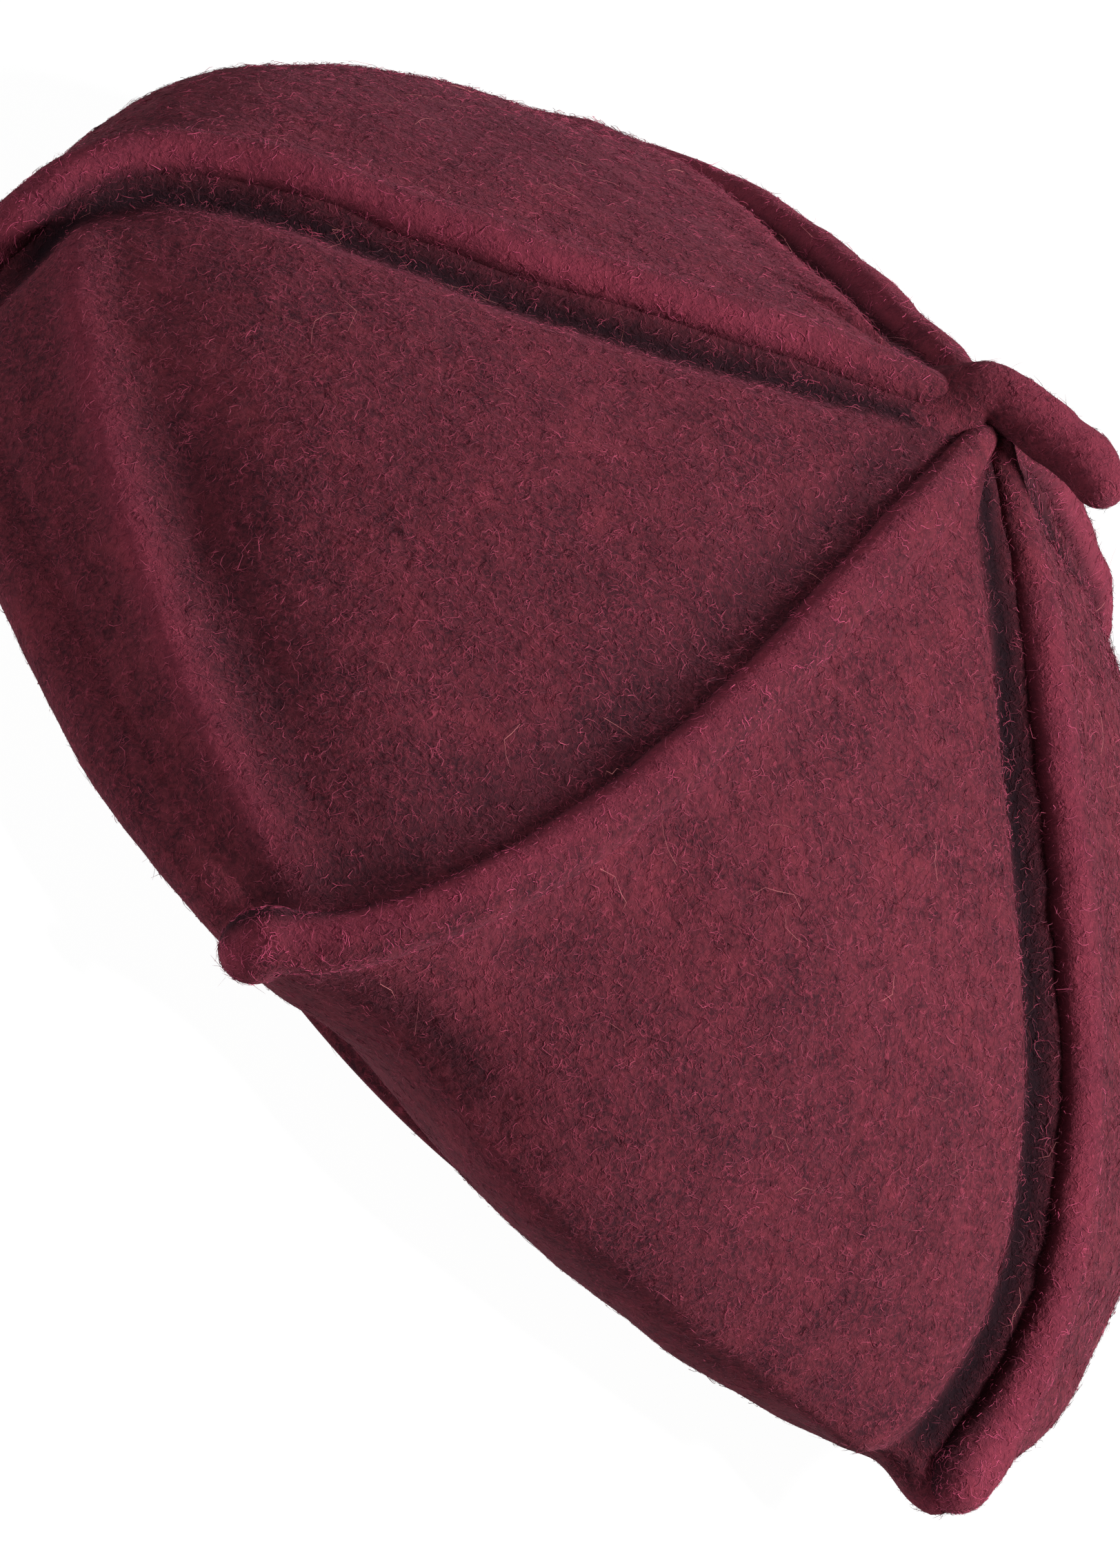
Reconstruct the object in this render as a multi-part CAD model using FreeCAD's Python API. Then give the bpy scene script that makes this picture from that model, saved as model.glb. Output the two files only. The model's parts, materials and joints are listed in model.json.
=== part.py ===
"""A five-ridge felted wool beret with a stalk at its apex, lying as it rests on a flat surface.

Millimetres, +Z up, origin at the centre of the head opening in the plane of its lower edge.

The felt shell is one skin. From the eyelet at the apex it runs down the crown to the rim, folds under,
and comes back in to a short upright collar round the head opening. Five felted ridge rolls lie on the
crown, each from beside the apex to a round nub on the rim. A felted stalk leans over on a flexible neck
above its root, which fills the eyelet and spreads into a foot inside the crown. A ribbon sweatband is
stitched inside the collar, with a blank size label behind it.
"""
import FreeCAD, Part
import math
import os

from FreeCAD import Vector

# ---- Driving dimensions -------------------------------------------------------------------------
HEAD_R = 90.7           # inside of the sweatband: a 570 mm head, the middle adult size
RIBBON_T = 0.8          # sweatband ribbon thickness
RIBBON_H = 25.0         # sweatband ribbon height
FELT_T = 2.6            # felted wool thickness
COLLAR_H = 4.0          # upright felt edge round the head opening

CROWN_H = 116.0         # apex above the lower edge of the head opening
TENT = 0.52             # share of the crown's depth that is a straight cone; the rest is a round dome
WAIST = 0.068           # how far the rim draws in half-way between two nubs, as a share of its radius
EYELET_R = 4.5          # the hole at the apex that the stalk's root closes

# One row per ridge, going round: angle of its nub, sideways bow, reach from the axis, drop from the
# apex, how square the fold under it is (over 1 tucks in early, under 1 hangs full), and how round its
# shoulder is at the rim (1 is a round dome, under 1 stays high and then drops).
RIDGES = (
    (-97.2, 6.5, 139.0, 89.0, 1.15, 1.0),
    (-30.0, 6.0, 138.5, 92.0, 1.25, 1.0),
    (62.0, 1.0, 139.5, 86.0, 1.0, 1.0),
    (127.0, -5.0, 136.5, 91.0, 0.9, 0.9),
    (206.0, -7.5, 133.5, 99.0, 0.7, 0.65),
)

ROLL_HALF_W = 4.6       # half the width of a ridge roll
ROLL_H = 4.8            # its height above the crown
ROLL_START = 0.04       # where a roll starts, as a share of the way from the apex to the rim
ROLL_FULL = 0.18        # where it has reached its full width and height
ROLL_START_SIZE = 0.68  # its size at the start, as a share of the full size
ROLL_OVER = 0.16        # how far a roll turns over the rim, in radians of the fold
NUB_R = 5.2             # the round end of a ridge roll
FELTED_GAP = 0.3        # a roll's underside to the shell's skin

STALK_R = 5.2           # stalk radius at its neck
STALK_TIP_R = 4.5       # and at its tip
STALK_RISE = 6.4        # the neck's bending point above the apex
STALK_LEAN = -6.0       # the way the stalk leans, about +Z from +X
STALK_PATH = ((0.0, 0.0), (4.2, 2.4), (8.6, 3.5), (12.8, 3.7), (16.4, 3.4))  # out and up from that point
ROOT_R = 4.1            # root in the eyelet
FOOT_R = 13.0           # the foot the root spreads into, inside the crown
FOOT_T = 1.6

STITCHES = 76           # running stitches that hold the sweatband
STITCH_L = 4.6
STITCH_R = 0.2
STITCH_Z = 3.0
STITCH_SINK = 0.5       # how deep the thread is pulled into the ribbon
LABEL_W = 22.0
LABEL_H = 30.0
LABEL_T = 0.35
LABEL_ANGLE = 120.0     # at the back of the head opening
LABEL_Z = 8.0

# ---- How finely the skin is sampled -------------------------------------------------------------
PER_PANEL = 10          # points of a section between two ridges
CROWN_SECTIONS = 15
FOLD_SECTIONS = 9
EYELET_DROP = 1.5       # the crown's own drop from the apex to the eyelet's edge
FIRST_SECTION = 2.0 / math.pi * math.asin(EYELET_R / RIDGES[0][2])


UP = Vector(0, 0, 1)
APEX = Vector(0, 0, CROWN_H)


# ---- The crown's shape --------------------------------------------------------------------------
def ridge_values(panel, share, s):
    """Angle, reach, drop, fold squareness and shoulder, share of the way from one ridge to the next."""
    here, there = RIDGES[panel % 5], RIDGES[(panel + 1) % 5]
    turn = 360.0 if (panel + 1) % 5 == 0 else 0.0
    bow = math.sin(math.pi * s)
    start, end = here[0] + here[1] * bow, there[0] + there[1] * bow + turn
    values = [(1 - share) * start + share * end]
    for a, b in zip(here[2:], there[2:]):
        values.append((1 - share) * a + share * b)
    return values


def crown_point(panel, share, s):
    """The outer skin, s of the way from the apex (0) to the rim (1)."""
    angle, reach, drop, _, shoulder = ridge_values(panel, share, s)
    turn = 0.5 * math.pi * s
    out = math.sin(turn)
    radius = reach * out * (1 - WAIST * math.sin(math.pi * share) * out ** 2)
    level = max(0.0, math.cos(turn)) ** shoulder
    depth = drop * (TENT * out + (1 - TENT) * (1 - level))
    a = math.radians(angle)
    return Vector(radius * math.cos(a), radius * math.sin(a), CROWN_H - depth)


def fold_point(panel, share, u):
    """The outer skin from the rim (u 0) under to the top of the collar (u half pi)."""
    angle, _, _, square, _ = ridge_values(panel, share, 1.0)
    a = math.radians(angle)
    edge_r = HEAD_R + RIBBON_T + 0.1 + FELT_T
    edge = Vector(edge_r * math.cos(a), edge_r * math.sin(a), COLLAR_H)
    reach = crown_point(panel, share, 1.0) - edge
    rise = Vector(0, 0, reach.z)
    inward = max(0.0, math.cos(u)) ** square
    return edge + (reach - rise) * inward + rise * (1 - math.sin(u) ** square)


def skin_point(panel, share, t):
    """The whole outer skin as one parameter: 0 to 1 down the crown, 1 to 2 round the fold."""
    if t <= 1.0:
        return crown_point(panel, share, t)
    return fold_point(panel, share, (t - 1.0) * 0.5 * math.pi)


def skin_normal(panel, share, t):
    """Outward normal of the skin, by small steps that don't cross the crease of a ridge."""
    step = 0.004
    before, after = max(FIRST_SECTION, t - step), min(2.0, t + step)
    down = skin_point(panel, share, after) - skin_point(panel, share, before)
    left, right = share - step, share + step
    across = skin_point(panel, right, t) - skin_point(panel, left, t)
    return across.cross(down).normalize() * -1


def section(t, inset=0.0):
    """One closed section round the skin, moved in by inset."""
    points = []
    for panel in range(5):
        for i in range(PER_PANEL):
            share = i / PER_PANEL
            p = skin_point(panel, share, t)
            if inset:
                p = p - skin_normal(panel, share, t) * inset
            points.append(p)
    return closed_wire(points)


def closed_wire(points):
    curve = Part.BSplineCurve()
    curve.interpolate(points, PeriodicFlag=True)
    return Part.Wire([curve.toShape()])


def level_ring(radius, height):
    """A section that is a plain level circle, with as many points as the others."""
    start, count = math.radians(RIDGES[0][0]), 5 * PER_PANEL
    turns = [start + 2 * math.pi * i / count for i in range(count)]
    return closed_wire([Vector(radius * math.cos(a), radius * math.sin(a), height) for a in turns])


# ---- Sub-parts ----------------------------------------------------------------------------------
def felt_shell():
    """The one felted skin: crown, rim, underside and collar."""
    edge_in = HEAD_R + RIBBON_T + 0.1
    edge_out = edge_in + FELT_T
    crown_steps = [1 - (1 - FIRST_SECTION) * (1 - i / CROWN_SECTIONS) ** 1.25
                   for i in range(1, CROWN_SECTIONS + 1)]
    fold_steps = [1 + i / FOLD_SECTIONS for i in range(1, FOLD_SECTIONS)]
    steps = crown_steps + fold_steps
    inside_eyelet = 0.6 * EYELET_R

    outer = [level_ring(inside_eyelet, CROWN_H - 0.6 * EYELET_DROP)]
    outer += [section(t) for t in steps]
    outer.append(level_ring(edge_out, COLLAR_H))

    inner = [level_ring(inside_eyelet, CROWN_H - 0.6 * EYELET_DROP - FELT_T)]
    inner += [section(t, FELT_T) for t in steps]
    inner.append(level_ring((edge_in + edge_out) / 2, COLLAR_H + FELT_T))

    body = Part.makeLoft(outer, True, False)
    hollow = Part.makeLoft(inner, True, False)
    opening = Part.makeCylinder(edge_in, 2 * COLLAR_H + FELT_T)
    eyelet = Part.makeCylinder(EYELET_R, 20.0, APEX - UP * 10.0)
    collar = Part.makeCylinder(edge_out - 0.3, COLLAR_H + FELT_T / 2)
    skin = body.cut(hollow).cut(opening).cut(eyelet)
    return skin.fuse(collar.cut(opening)).removeSplitter()


def ridge_roll(number):
    """A felted roll along one ridge, ending in the round nub that stands out from the rim."""
    stations = 15
    last = 1.0 + ROLL_OVER / (0.5 * math.pi)
    wires = []
    for i in range(stations):
        t = ROLL_START + (last - ROLL_START) * i / (stations - 1)
        p = skin_point(number, 0.0, t)
        along = (skin_point(number, 0.0, t + 0.005) - skin_point(number, 0.0, t - 0.005)).normalize()
        out = ridge_normal(number, t)
        side = along.cross(out).normalize()
        grown = min(1.0, (t - ROLL_START) / (ROLL_FULL - ROLL_START))
        size = ROLL_START_SIZE + (1 - ROLL_START_SIZE) * math.sin(0.5 * math.pi * grown)
        half_w, height = ROLL_HALF_W * size, ROLL_H * size
        foot = p + out * FELTED_GAP
        left, right = foot - side * half_w, foot + side * half_w
        over = [foot + side * (half_w * math.cos(a)) + out * (height * math.sin(a))
                for a in (math.pi * k / 8 for k in range(9))]
        curve = Part.BSplineCurve()
        curve.interpolate(over)
        wires.append(Part.Wire([curve.toShape(), Part.LineSegment(left, right).toShape()]))
    roll = Part.makeLoft(wires, True, False)
    rim = skin_point(number, 0.0, last)
    nub_centre = rim + ridge_normal(number, last) * (NUB_R + FELTED_GAP)
    return roll.fuse(Part.makeSphere(NUB_R, nub_centre)).removeSplitter()


def ridge_normal(number, t):
    """The mean of the skin's normals on both sides of a ridge."""
    return (skin_normal(number, 0.03, t) + skin_normal(number - 1, 0.97, t)).normalize()


def stalk_frame():
    """The neck's bending point, the way the stalk leans, and the hinge line across it."""
    a = math.radians(STALK_LEAN)
    lean = Vector(math.cos(a), math.sin(a), 0)
    return APEX + UP * STALK_RISE, lean, UP.cross(lean)


def stalk():
    """The leaning part of the stalk: a tapered round body with a ball at the neck and at the tip."""
    pivot, lean, _ = stalk_frame()
    points = [pivot + lean * x + UP * z for x, z in STALK_PATH]
    path = Part.BSplineCurve()
    path.interpolate(points)
    first, last = path.FirstParameter, path.LastParameter
    wires = []
    for i in range(7):
        share = i / 6
        at = first + (last - first) * share
        radius = STALK_R + (STALK_TIP_R - STALK_R) * share
        wires.append(Part.Wire([Part.Circle(path.value(at), path.tangent(at)[0], radius).toShape()]))
    body = Part.makeLoft(wires, True, False)
    neck = Part.makeSphere(STALK_R, points[0])
    end = Part.makeSphere(STALK_TIP_R, points[-1])
    return body.fuse([neck, end]).removeSplitter()


def stalk_root():
    """The fixed end of the stalk: it fills the eyelet and spreads into a foot under the felt."""
    foot_top = EYELET_DROP + FELT_T + 3.2
    bottom = APEX - UP * (foot_top + FOOT_T)
    stem = Part.makeCylinder(ROOT_R, foot_top + FOOT_T + STALK_RISE - STALK_R - 0.3, bottom)
    return stem.fuse(Part.makeCone(FOOT_R, FOOT_R - 2.0, FOOT_T, bottom)).removeSplitter()


def sweatband():
    """The ribbon ring that sits on the head, with the line its stitches are pulled into."""
    ribbon = Part.makeCylinder(HEAD_R + RIBBON_T, RIBBON_H).cut(Part.makeCylinder(HEAD_R, RIBBON_H))
    sunk = Part.makeCylinder(HEAD_R + STITCH_SINK, 3 * STITCH_R, Vector(0, 0, STITCH_Z - 1.5 * STITCH_R))
    return ribbon.cut(sunk)


def sweatband_stitches():
    """Running stitches round the ribbon's inner face, each a short straight thread."""
    radius = HEAD_R + STITCH_R + 0.04
    threads = []
    for i in range(STITCHES):
        a = 2 * math.pi * (i + 0.5) / STITCHES
        middle = Vector(radius * math.cos(a), radius * math.sin(a), STITCH_Z)
        way = Vector(-math.sin(a), math.cos(a), 0)
        threads.append(Part.makeCylinder(STITCH_R, STITCH_L, middle - way * (STITCH_L / 2), way))
    return Part.makeCompound(threads)


def size_label():
    """A blank woven label, held between the ribbon and the felt and standing up behind the ribbon."""
    inner = HEAD_R + RIBBON_T + 0.05
    ring = Part.makeCylinder(inner + LABEL_T, LABEL_H, Vector(0, 0, LABEL_Z))
    ring = ring.cut(Part.makeCylinder(inner, LABEL_H, Vector(0, 0, LABEL_Z)))
    window = Part.makeBox(2 * inner, LABEL_W, LABEL_H, Vector(0, -LABEL_W / 2, LABEL_Z))
    window.rotate(Vector(0, 0, 0), Vector(0, 0, 1), LABEL_ANGLE)
    return ring.common(window)


def main():
    os.makedirs("parts", exist_ok=True)
    nodes = {
        "felt_shell": felt_shell(),
        "stalk": stalk(),
        "stalk_root": stalk_root(),
        "sweatband": sweatband(),
        "sweatband_stitches": sweatband_stitches(),
        "size_label": size_label(),
    }
    for number in range(5):
        nodes["ridge_roll_%d" % (number + 1)] = ridge_roll(number)
    for name, shape in nodes.items():
        shape.exportStep("parts/%s.step" % name)
        print(name, "solids", len(shape.Solids), "valid", shape.isValid(), "mm3", round(shape.Volume))
    pivot, _, hinge = stalk_frame()
    print("stalk hinge at", pivot, "axis", hinge)


main()
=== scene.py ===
"""The looks of the felt beret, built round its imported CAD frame. Lengths are in mm until a mesh is made."""
import json
import math
from types import SimpleNamespace

import bpy
import numpy as np
from mathutils import Matrix, Vector


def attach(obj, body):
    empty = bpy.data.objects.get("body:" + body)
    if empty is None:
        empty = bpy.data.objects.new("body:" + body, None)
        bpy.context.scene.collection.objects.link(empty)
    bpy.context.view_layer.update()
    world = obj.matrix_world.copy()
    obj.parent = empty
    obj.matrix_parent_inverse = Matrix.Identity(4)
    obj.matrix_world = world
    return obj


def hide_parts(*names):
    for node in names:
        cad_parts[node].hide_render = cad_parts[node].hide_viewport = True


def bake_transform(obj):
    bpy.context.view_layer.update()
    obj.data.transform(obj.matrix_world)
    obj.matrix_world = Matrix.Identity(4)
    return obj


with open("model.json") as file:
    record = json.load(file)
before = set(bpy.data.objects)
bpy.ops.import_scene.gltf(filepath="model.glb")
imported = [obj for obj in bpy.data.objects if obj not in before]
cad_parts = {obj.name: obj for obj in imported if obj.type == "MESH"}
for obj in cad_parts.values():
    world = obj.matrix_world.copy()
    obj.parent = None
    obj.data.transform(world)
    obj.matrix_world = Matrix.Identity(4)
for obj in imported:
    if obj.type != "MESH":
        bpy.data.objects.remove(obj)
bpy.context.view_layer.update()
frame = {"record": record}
rng = np.random.default_rng(7)
MM = 0.001

# ---- The hat's dimensions ------------------------------------------------------------------------
MOUNTS = {mount["name"]: mount for mount in frame["record"]["mounts"]}
HEAD_R = MOUNTS["head_opening"]["dims"]["r_mm"]
RIBBON_T = 0.8
FELT_T = 2.6
EDGE_IN = HEAD_R + RIBBON_T + 0.1       # the felt collar's inner face
EDGE_OUT = EDGE_IN + FELT_T
COLLAR_H = 4.0
CROWN_H = 116.0
APEX = np.array([0.0, 0.0, CROWN_H])
TENT = 0.52             # share of the crown's depth that is a straight cone; the rest is a round dome
WAIST = 0.068           # how far the rim draws in half-way between two nubs, as a share of its radius

# Ridges are numbered from 0, going round, and panel k lies between ridge k and the next. Each row has the
# angle of the nub, sideways bow, reach from the axis, drop from the apex, how square the fold under it is,
# and how round its shoulder is.
RIDGES = np.array([
    (-97.2, 7.5, 139.0, 89.0, 1.15, 1.0),
    (-33.2, 8.8, 138.0, 91.0, 1.25, 1.0),
    (62.0, 1.0, 139.5, 86.0, 1.0, 1.0),
    (127.0, -5.0, 136.5, 91.0, 0.9, 0.9),
    (206.0, -8.5, 133.0, 100.0, 0.70, 0.55)])
BOW_PEAK = np.array([0.70, 1.0, 1.0, 1.0, 2.0])     # under 1 bows most near the apex, over 1 near the rim
SOFT_SIDE = np.array([1, 1, 1, -1, -1])             # the side where a roll slopes gently into the felt
CREASE_DEPTH = np.array([2.0, 3.8, 2.6, 2.8, 3.2])  # the crease on its other side

ROLL_R = 4.3
ROLL_START = 0.02       # ways down the crown are 0 at the apex, 1 at the rim and 2 at the collar
ROLL_END = np.array([1.075, 0.955, 1.085, 1.085, 1.12])
ROLL_SINK = np.array([2.9, 2.0, 1.2, 1.6, 1.9])     # how deep a roll sits in the felt
ROLL_TIP = np.array([0.62, 0.62, 0.62, 1.0, 0.62])  # how thick it starts, as a share of its full radius
NUB_LENGTH = np.array([0.10, 0.13, 0.07, 0.07, 0.07])
NUB_SWELL = np.array([1.0, 1.6, 0.8, 0.8, 0.8])     # how much thicker the nub is than the roll
NUB_LIFT = np.array([4.8, -0.2, 4.6, 4.6, 3.6])     # how far it rises out of the felt
ROLL_SHADE = ((1.8, 0.05),) + 4 * ((1.3, 0.35),)     # how fast painted shade darkens its creased side, and from where

LEAN = math.radians(-6.0)
LEAN_DIR = np.array([math.cos(LEAN), math.sin(LEAN), 0.0])
STALK_LINE = ((-4.0, -9.0), (-4.5, -5.2), (-4.7, -2.0), (-3.4, 2.6),
              (2.2, 5.6), (7.6, 7.0), (12.9, 8.5), (17.3, 8.5))    # out along the lean and up, from the apex
STALK_RADII = (17.0, 11.6, 7.9, 5.8, 5.0, 4.8, 4.8, 4.5)
FOOT_R, FOOT_HALF_T, FOOT_DOWN = 12.6, 1.0, 8.1
STITCHES, STITCH_L, STITCH_R, STITCH_Z = 76, 4.6, 0.21, 3.0
LABEL_ANGLE, LABEL_W, LABEL_H, LABEL_Z = math.radians(120.0), 22.0, 30.0, 8.0
LAP_ANGLE, LAP_HALF_TURN = LABEL_ANGLE - 0.42, 0.075

# The skin's rows and columns of points: columns are close together beside a ridge
CROWN_ROWS, FOLD_ROWS, FIRST_ROW = 124, 47, 0.014
NEAR, FAR = 16, 26      # columns beside a ridge, and from there to the middle of the panel
NEAR_W = 10.0           # how wide the close columns' band is
MEAN_REACH = 138.0

# Swells beside a ridge: its number, width to a side, way down, length along it, height
RIDGE_SWELLS = (
    (2, 30.0, 0.48, 0.20, 1.9),
    (2, 30.0, 0.90, 0.15, -3.2),
    (3, 25.0, 0.60, 0.18, 1.4),
    (3, 25.0, 0.25, 0.10, -0.8),
    (4, 30.0, 0.40, 0.20, -1.6))
FULL_PANEL = 3          # a fuller panel, with a soft second fold along its first ridge
SHARP_PANEL = 4         # the panel whose rim is pressed into a crisp edge


def bell(x, centre, width):
    """1 at the centre, falling away smoothly on both sides."""
    return np.exp(-((x - centre) / width) ** 2)


def noise3(p, wavelength, seed, octaves=2):
    """Smooth noise from -1 to 1 made of a few waves in seeded directions."""
    gen = np.random.default_rng(seed)
    total, size = np.zeros(p.shape[:-1]), 0.0
    for octave in range(octaves):
        weight = 0.55 ** octave
        for _ in range(7):
            way = gen.normal(size=3)
            way *= 2 * math.pi / (wavelength * 0.5 ** octave) / np.linalg.norm(way) * gen.uniform(0.6, 1.4)
            total += weight * np.sin(p @ way + gen.uniform(0, 6.28))
            size += weight * 0.42
    return total / size


def unit(vectors):
    return vectors / np.linalg.norm(vectors, axis=-1, keepdims=True)


# ---- The outer skin ------------------------------------------------------------------------------
def ridge_values(panel, share, s):
    """Angle, reach, drop, fold squareness and shoulder at a share of the way from one ridge to the next."""
    here, there = RIDGES[panel], RIDGES[(panel + 1) % 5].copy()
    if panel == 4:
        there[0] += 360.0
    bows = [np.sin(math.pi * np.asarray(s, float) ** BOW_PEAK[k % 5]) for k in (panel, panel + 1)]
    angle = (1 - share) * (here[0] + here[1] * bows[0]) + share * (there[0] + there[1] * bows[1])
    return [np.radians(angle)] + [(1 - share) * here[i] + share * there[i] for i in (2, 3, 4, 5)]


def crown(panel, share, s):
    angle, reach, drop, _, shoulder = ridge_values(panel, share, s)
    out = np.sin(0.5 * math.pi * s)
    waist = WAIST * np.sin(math.pi * share) ** 0.9
    if panel == 0:
        waist = waist + 0.048 * bell(share, 0.18, 0.12) * (1 - bell(share, 0.0, 0.04))
    radius = reach * out * (1 - waist * out ** 2)
    level = np.maximum(0.0, np.cos(0.5 * math.pi * s)) ** shoulder
    depth = drop * (TENT * out + (1 - TENT) * (1 - level))
    return np.stack([radius * np.cos(angle), radius * np.sin(angle), CROWN_H - depth], -1)


def fold(panel, share, turn):
    """The rim folding under to the collar, as the turn goes from 0 to a quarter circle."""
    angle, _, _, square, _ = ridge_values(panel, share, np.ones_like(turn))
    edge = np.stack([EDGE_OUT * np.cos(angle), EDGE_OUT * np.sin(angle), np.full_like(turn, COLLAR_H)], -1)
    reach = crown(panel, share, np.ones_like(turn)) - edge
    if panel == 0:
        square = square + 0.35 * bell(share, 0.2, 0.14)
    reach[..., :2] *= (np.maximum(0.0, np.cos(turn)) ** square)[..., None]
    reach[..., 2] *= 1 - np.sin(turn) ** square
    return edge + reach


def skin(panel, share, t):
    return np.where((t <= 1.0)[..., None], crown(panel, share, np.minimum(t, 1.0)),
                    fold(panel, share, np.clip(t - 1.0, 0.0, 1.0) * 0.5 * math.pi))


def skin_rows():
    """The way down at each row, with rows closer together towards the rim."""
    down = 1 - (1 - FIRST_ROW) * (1 - np.arange(CROWN_ROWS) / CROWN_ROWS) ** 1.3
    return np.concatenate([down, 1 + np.arange(FOLD_ROWS) / (FOLD_ROWS - 1)])


def panel_grid():
    """One panel's way down and share of its width at every point, and half its width at each row."""
    t = skin_rows()
    half_w = np.radians(36.0) * MEAN_REACH * np.sin(0.5 * math.pi * np.minimum(t, 1.0))
    half_w = np.where(t > 1, half_w[t <= 1][-1] * (1 - 0.33 * (t - 1)), half_w)
    near_w = np.minimum(NEAR_W, 0.55 * half_w)
    near = np.linspace(0, 1, NEAR + 1)[None, :] * near_w[:, None]
    far = near_w[:, None] + np.linspace(0, 1, FAR + 1)[None, 1:] * (half_w - near_w)[:, None]
    left = np.concatenate([near, far], 1) / (2 * half_w)[:, None]
    share = np.concatenate([left, 1 - left[:, ::-1][:, 1:-1]], 1)
    return np.repeat(t[:, None], share.shape[1], 1), share, half_w


def grid_normals(p):
    across = np.roll(p, -1, 1) - np.roll(p, 1, 1)
    return unit(np.cross(np.gradient(p, axis=0), across))


def beside_ridges(at):
    """The skin rises softly to each roll on one side, and dips into a groove on the other. Besides the
    heights it gives painted shade along the groove side and a painted highlight along the soft side.
    """
    gentle = 3.1 * bell(at.off, 0.0, 8.5)
    deep = CREASE_DEPTH[at.ridge] * np.clip(at.t / 0.2, 0, 1)
    creased = 1.0 * bell(at.off, 0.0, 3.5) - deep * bell(at.off, 8.0, 5.0)
    height = at.grow * np.where(at.off < 0.01, 2.0, np.where(at.soft, gentle, creased))
    # painted shade: a dark band beside each roll on its groove side, where shade falls; the third value is a
    # painted highlight on the soft side
    wide = np.where(at.ridge == 0, 0.55 * bell(at.off, 8.0, 7.0), bell(at.off, 6.5, 4.4))
    crease_shade = np.clip(at.radius / 9.0, 0, 1) * wide * ~at.soft * np.clip((1.04 - at.t) / 0.1, 0, 1)
    return height, crease_shade, 0.6 * at.grow * at.soft * bell(at.off, 0.0, 7.0)


def second_fold(at):
    """A lower, softer fold along the full panel's first ridge."""
    where = at.grow * (at.panel == FULL_PANEL) * (at.ridge == FULL_PANEL)
    # the third value is a painted highlight along this fold's top
    return 2.0 * where * bell(at.off, 17.0, 6.0), 0.0, 0.5 * where * bell(at.off, 17.0, 5.0)


def pressed_rim(at):
    """One panel's rim is a crisp edge, with a hollow above it and a full wall below."""
    here = at.panel == SHARP_PANEL
    edge = np.sin(math.pi * at.share) ** 0.5 * here
    hollow = np.sin(math.pi * at.share) * at.share * here
    below = at.t - (0.865 + 0.055 * at.share)
    height = edge * (2.4 * bell(below, 0.0, 0.045) + 10.2 * bell(at.t, 1.16, 0.19))
    height = height - hollow * 4.2 * bell(below, -0.10, 0.075)
    # the second value is painted shade in the hollow above the edge, the third a painted highlight along the
    # edge
    return height, 0.75 * hollow * bell(below, -0.085, 0.055), 0.8 * edge * bell(below, 0.0, 0.03)


def swells(at):
    """Places where a panel or a ridge is fuller or flatter than the plain dome."""
    height = np.sin(math.pi * at.share) * (at.panel == FULL_PANEL) * 2.1 * bell(at.t, 0.75, 0.22)
    for ridge, width, down, length, high in RIDGE_SWELLS:
        height = height + high * (at.ridge == ridge) * bell(at.off, 0.0, width) * bell(at.t, down, length)
    height += bell(at.share, 0.15, 0.14) * (at.panel == 1) * 5.2 * bell(at.t, 0.98, 0.11)
    beside = np.where(at.panel == 0, 24.0, 15.0)
    return height + bell(at.off, 0.0, beside) * (at.ridge == 1) * 4.6 * bell(at.t, 1.02, 0.12)


def painted_shade_patches(at):
    """Painted shade in colour only: a darker middle on the full panel, and a shaded band above one rim."""
    middle = 0.45 * bell(at.share, 0.5, 0.17) * bell(at.t, 0.5, 0.2) * (at.panel == FULL_PANEL)
    return np.maximum(middle, 0.6 * bell(at.share, 0.17, 0.12) * bell(at.t, 0.93, 0.05) * (at.panel == 0))


def outer_skin():
    """The skin's points p and normals n, way down t, distance off the nearest ridge, and how much painted
    shade and painted highlight each point has."""
    t, share, half_w = panel_grid()
    p = np.concatenate([skin(k, share, t) for k in range(5)], 1)
    at = SimpleNamespace(t=np.tile(t, (1, 5)), share=np.tile(share, (1, 5)))
    at.panel = np.repeat(np.arange(5), share.shape[1])[None, :].repeat(len(t), 0)
    at.off = np.minimum(at.share, 1 - at.share) * (2 * half_w)[:, None]
    at.radius = np.linalg.norm(p[..., :2], axis=-1)
    at.ridge = np.where(at.share < 0.5, at.panel, (at.panel + 1) % 5)
    at.soft = np.where(at.share < 0.5, 1, -1) == SOFT_SIDE[at.ridge]
    at.grow = np.clip(at.radius / 26.0, 0, 1) * np.clip((1.25 - at.t) / 0.2, 0, 1)

    # each piece gives heights for the skin, a mask of painted shade and a mask of painted highlight
    heights, shade_masks, highlight_masks = zip(beside_ridges(at), second_fold(at), pressed_rim(at))
    crease_shade = np.maximum(np.maximum(shade_masks[0], shade_masks[2]), painted_shade_patches(at))
    crest_highlight = np.maximum(np.maximum(highlight_masks[0], highlight_masks[1]), highlight_masks[2])
    calm = np.clip((1.9 - at.t) / 0.3, 0, 1) * np.clip(at.radius / 30.0, 0, 1)
    uneven = calm * (0.9 * noise3(p, 70.0, 3) + 0.22 * noise3(p, 16.0, 4))
    p = p + grid_normals(p) * (sum(heights) + swells(at) + uneven)[..., None]
    return SimpleNamespace(p=p, n=grid_normals(p), t=at.t, off=at.off, crease_shade=crease_shade, crest_highlight=crest_highlight)


# ---- Meshes --------------------------------------------------------------------------------------
def link(name, data):
    obj = bpy.data.objects.new(name, data)
    bpy.context.scene.collection.objects.link(obj)
    return obj


def new_mesh(name, verts_mm, faces):
    """A smooth mesh of any faces."""
    mesh = bpy.data.meshes.new(name)
    mesh.from_pydata((np.asarray(verts_mm) * MM).tolist(), [], [list(map(int, face)) for face in faces])
    mesh.validate()
    mesh.polygons.foreach_set("use_smooth", [True] * len(mesh.polygons))
    return link(name, mesh)


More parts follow.
